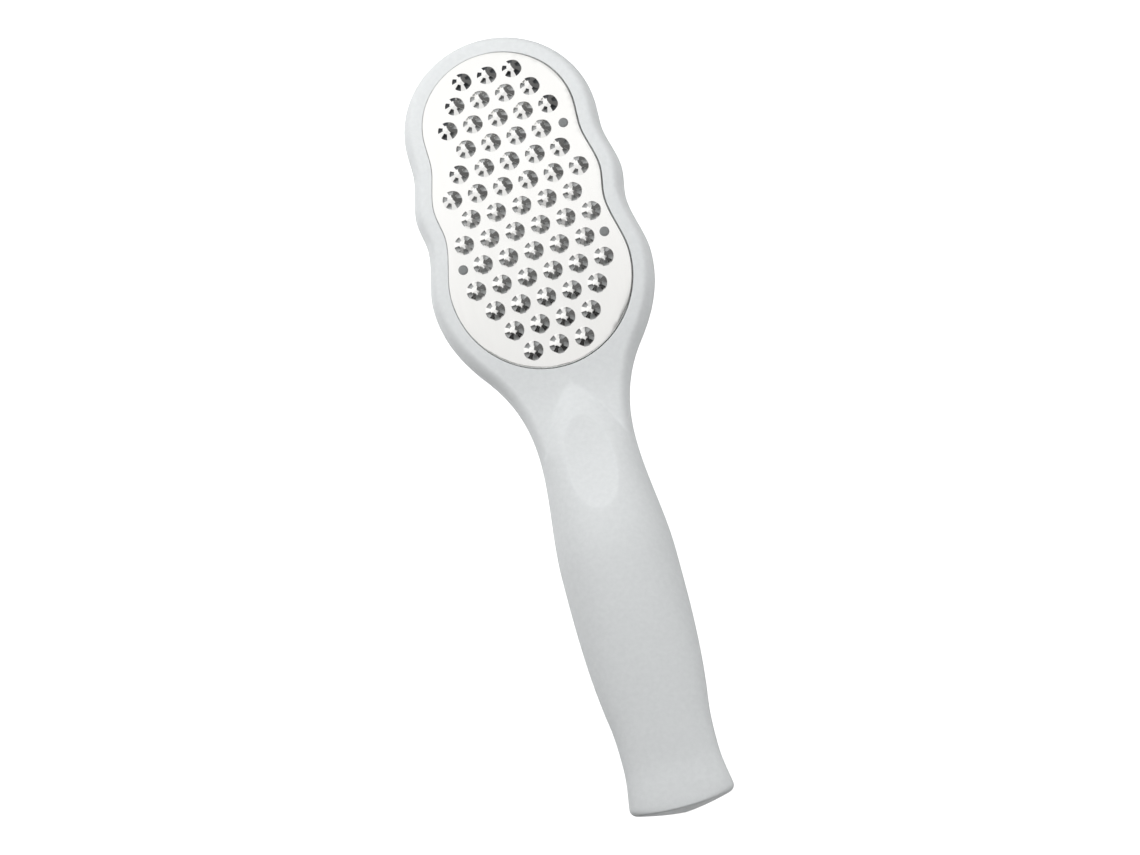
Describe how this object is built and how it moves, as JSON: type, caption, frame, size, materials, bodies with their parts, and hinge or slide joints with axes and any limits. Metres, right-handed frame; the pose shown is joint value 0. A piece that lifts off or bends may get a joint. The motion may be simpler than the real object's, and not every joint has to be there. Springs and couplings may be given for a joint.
{
  "type": "foot file",
  "caption": "Hand foot file: a crowned steel rasp plate of star-cut studs in a lobed head, on a rounded handle with an oval thumb dish.",
  "frame": {"origin": "on the resting plane, under the middle of the whole length and of the width", "axes": "+Z out of the rasp face, +Y along the handle towards the head's tip"},
  "size_m": [0.0646, 0.2315, 0.0198],
  "materials": {
    "body_plastic": "moulded plastic with a fine spark-eroded grain",
    "plate_steel": "polished stainless sheet",
    "carrier_plastic": "plain dark grey moulded plastic",
    "pin_steel": "dull grey steel"
  },
  "bodies": {
    "root": {"front_shell": "body_plastic", "back_shell": "body_plastic", "rasp_plate": "plate_steel", "plate_carrier": "carrier_plastic", "plate_pins": "pin_steel"}
  },
  "joints": []
}
